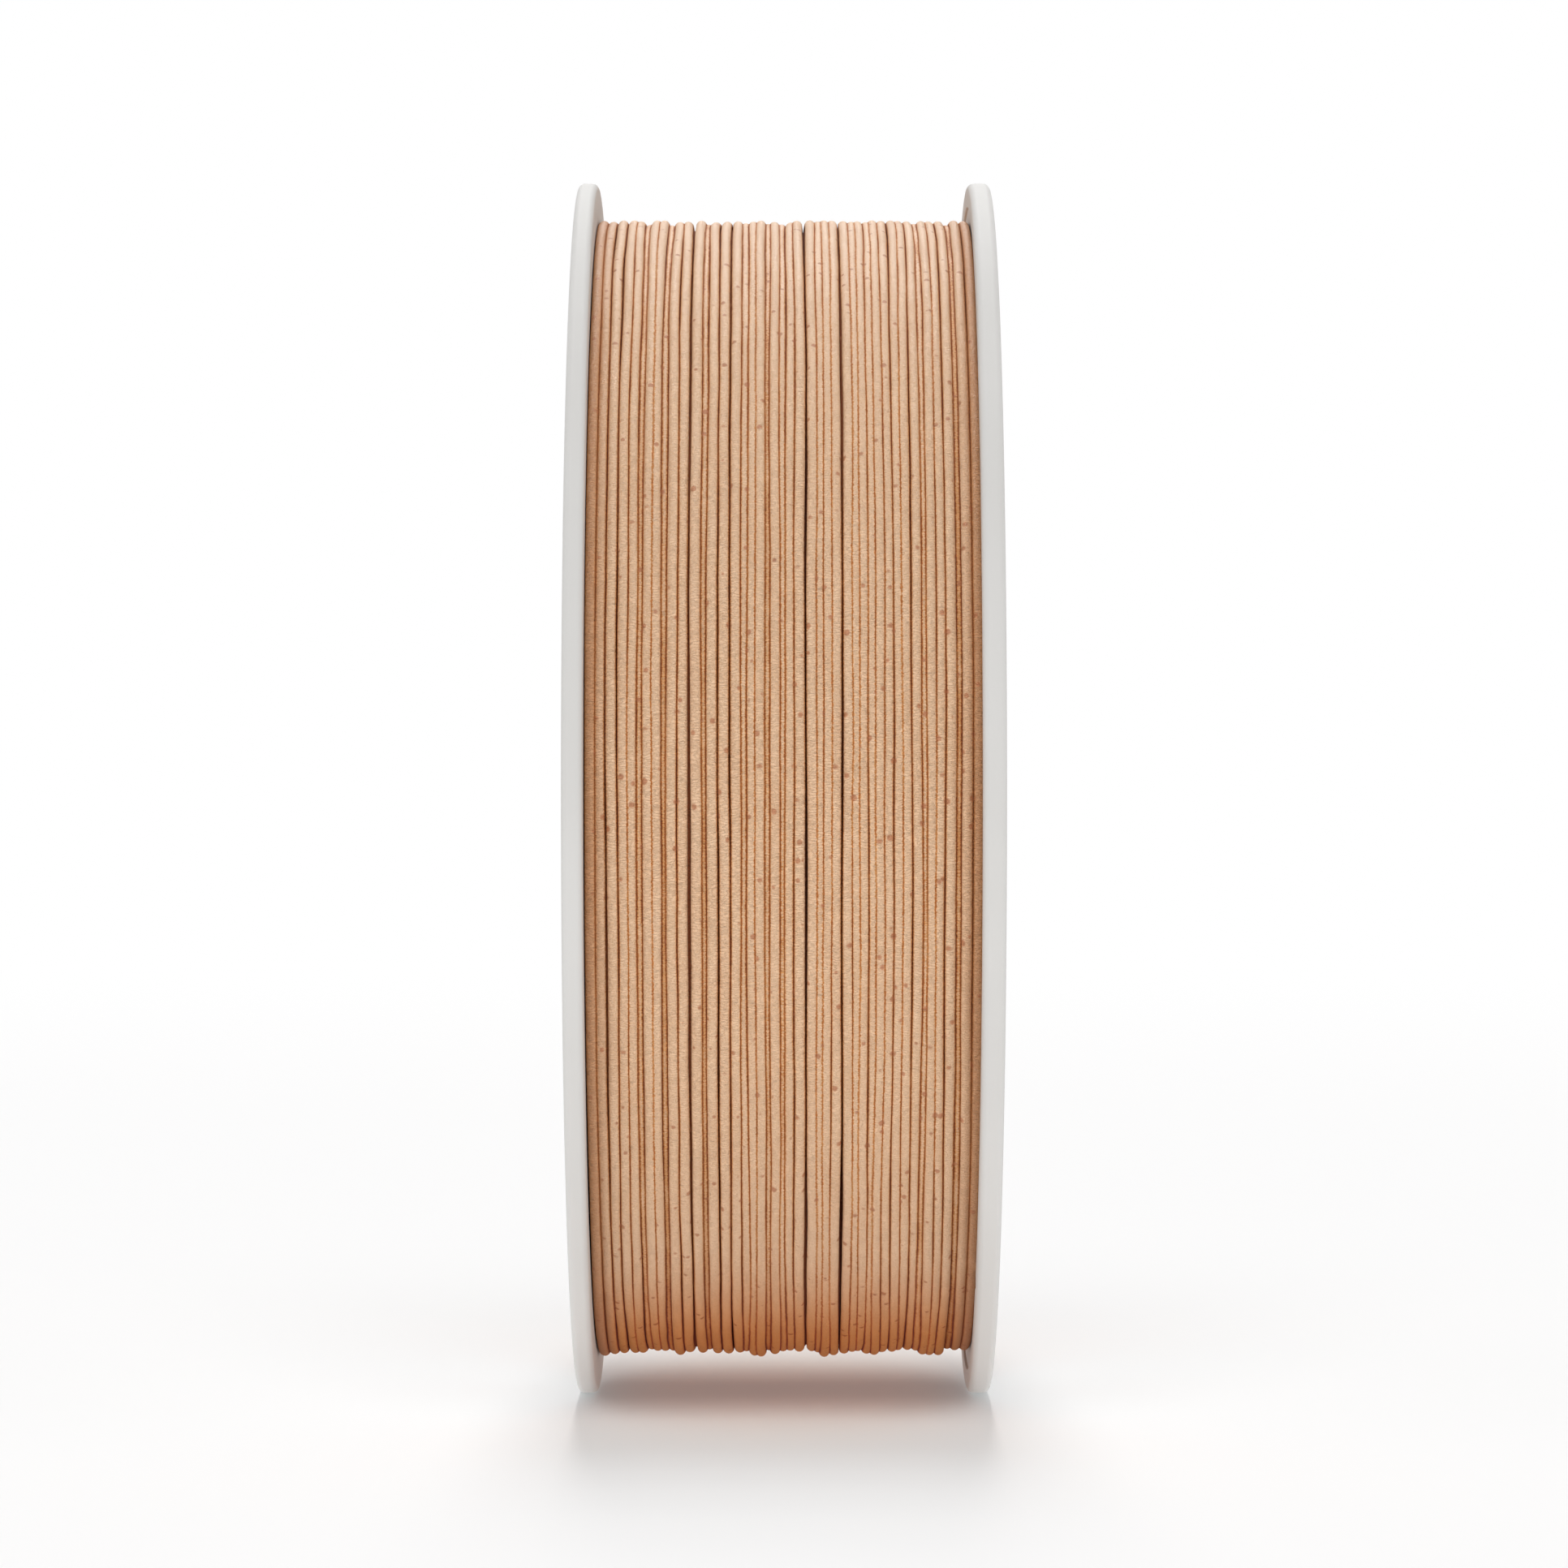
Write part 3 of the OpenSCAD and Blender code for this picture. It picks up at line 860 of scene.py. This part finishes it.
# %% Let the ridges wander, and map them
for v in bm.verts:
    side = 1 if v.co.z > 0 else -1
    ridge = round((math.hypot(v.co.x, v.co.y) - LOWEST) / LAYER)
    v.co.z += side * (0.22 * noise.noise(Vector((v.co.x / 30, v.co.y / 30, ridge * 1.7))) - 0.1)
MIDDLE_R = 75
uv = bm.loops.layers.uv.new("strand")
for face in bm.faces:
    corners = [loop.vert.co for loop in face.loops]
    turns = unwrapped([math.atan2(co.y, co.x) for co in corners])
    for loop, co, turn in zip(face.loops, corners, turns):
        loop[uv].uv = turn * MIDDLE_R, math.hypot(co.x, co.y)
piece("wound_inner_layers", bm, strand, "refill", "strand", "strand_winding", smooth_to=80)

# %% [markdown]
# ## Wood-filled strand
# The strand is plastic with fine wood flour in it, matt and pale like fresh beech. Where strands
# press together, and in the deep places below the wound surface, the colour is painted rust to
# dark brown: painted shade in the joints and hollows and on the strands' sides beside them. Two
# values stored on the tubes steer this: the clearance to the next strand and the depth below the
# wound surface. Small noises make the joints ragged, and a 3-D Voronoi pattern scatters soft
# brown specks. The strands next to the flanges and those at the foot are painted browner and
# darker, as painted shade from the flanges and near the table. The bump has fine cross wrinkles,
# left by the die, and a grain, and the wrinkles are also painted darker in the colour, as painted
# shade. The joints are rougher than the crests, so that only the crests catch the light from the
# strip of lamps.

# %% Noises on the strand
uv = finish.add("ShaderNodeUVMap", {"uv_map": "strand"})


def streaks(along, across, detail=2, roughness=0.5):
    """A noise with so many spots to a millimetre along the strand and across it."""
    return finish.noise(finish.stretched(uv, (along, across, 1)), 1, detail, roughness)


grain = finish.noise(uv, 4.5, detail=3, roughness=0.7)
teeth = streaks(3.6, 1.2)
creased = finish.smooth((streaks(2.3, 0.5, roughness=0.6) - 0.5).maths("ABSOLUTE"), 0.07, 0.0)
patches = streaks(0.05, 0.4, detail=3)
strength = finish.smooth(streaks(0.11, 0.25), 0.3, 0.7)
print("the strand's noises take", len(finish.tree.nodes), "nodes")

# %% How dark a joint is
clear = finish.add("ShaderNodeAttribute", {"attribute_name": "clearance"}, out="Fac")
deep = finish.add("ShaderNodeAttribute", {"attribute_name": "below"}, out="Fac")
ragged = clear + (teeth - 0.5) * 0.55 + (grain - 0.5) * 0.2
line = finish.smooth(ragged, 0.22, 0.02)
depth = finish.smooth(deep, 0.15, 0.8)
halo = finish.smooth(ragged, 0.52, 0.1) * finish.smooth(deep, 0.12, 0.5)
gap = finish.smooth(deep, 0.85, 1.5)
# Painted shade: the colour turns browner and darker at each joint, on the strands' sides beside it
# and in the deep places, such as the layer under the top one, where shade falls.
hollow_shade = line * (depth * 0.6 + 0.15 + strength * 0.2) + halo * (0.18 + strength * 0.36) \
    + gap * 0.7
# The crest's own colour first, then the darker stops of the painted shade.
tone = finish.add("ShaderNodeValToRGB", {"stops": [
    (0.0, (0.88, 0.597, 0.388)), (0.12, (0.77, 0.385, 0.13)), (0.32, (0.54, 0.168, 0.025)),
    (0.6, (0.36, 0.1, 0.02)), (0.95, (0.24, 0.055, 0.01))]}, {"Fac": hollow_shade})
print("with its joints it has", len(finish.tree.nodes), "nodes")

# %% Painted shade by the flanges and at the foot, grain and specks
place = finish.add("ShaderNodeTexCoord", out="Object")
axes = finish.add("ShaderNodeSeparateXYZ", None, {0: place}, out="X")
from_axle = finish.distance(finish.stretched(place, (0, 1, 1)))
# Strands next to the flanges are painted browner and darker: painted shade from the flanges.
flange_shade = finish.smooth(axes.maths("ABSOLUTE"), 26.4 * MM, 30 * MM)
tone = finish.blend(flange_shade * (0.5 + teeth * 0.5), tone, (0.56, 0.235, 0.075))
tone = finish.blend(finish.smooth(patches, 0.35, 0.7) * 0.5, tone, (0.9, 0.82, 0.74), "MULTIPLY")
# The grain darkens the colour at random, and the cross wrinkles are painted darker, as painted
# shade of their bumps.
grain_and_wrinkle_shade = finish.smooth(grain, 0.56, 0.36) * 0.8 + creased * 0.26
tone = finish.blend(grain_and_wrinkle_shade, tone, (0.87, 0.76, 0.64), "MULTIPLY")
shaken = finish.blend(0.0002, place, finish.noise(place, 1600, detail=1).output("Color"), "ADD")
cell = finish.add("ShaderNodeTexVoronoi", None, {"Vector": shaken, "Scale": 330}, out="Distance")
uneven = cell.output("Color") * 0.11    # a cell's own random number, so that few specks show
specks = finish.smooth(cell + uneven, 0.235, 0.14)
tone = finish.blend(specks * 0.78, tone, (0.5, 0.17, 0.062))
# The lowest part of the winding is painted darker and browner: painted shade near the table.
foot_shade = finish.smooth(axes.output("Z"), -72 * MM, -91 * MM) \
    * finish.smooth(from_axle, 89.5 * MM, 91.5 * MM) * (1 - flange_shade * 0.5)
tone = finish.blend(foot_shade, tone, (0.82, 0.47, 0.17), "MULTIPLY")
print("with its colours it has", len(finish.tree.nodes), "nodes")

# %% Surface of the strand
finish.surface({
    "Base Color": tone,
    "Roughness": 0.4 + grain * 0.16 + hollow_shade.most(foot_shade) * 0.55,
    "Specular IOR Level": 0.66,
    "Normal": finish.bump(grain * 0.7 - creased * 0.5, 0.0002, 1.0),
})
print("strand finish has", len(finish.tree.nodes), "nodes")

# %% [markdown]
# ## The visual model's box
# The visual model is meant to fill the same box as the CAD model; its box is printed in
# millimetres.

# %% Sizes and the end
low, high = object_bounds()
print("visual box in mm:", [round(v / MM, 2) for v in (*low, *high)])
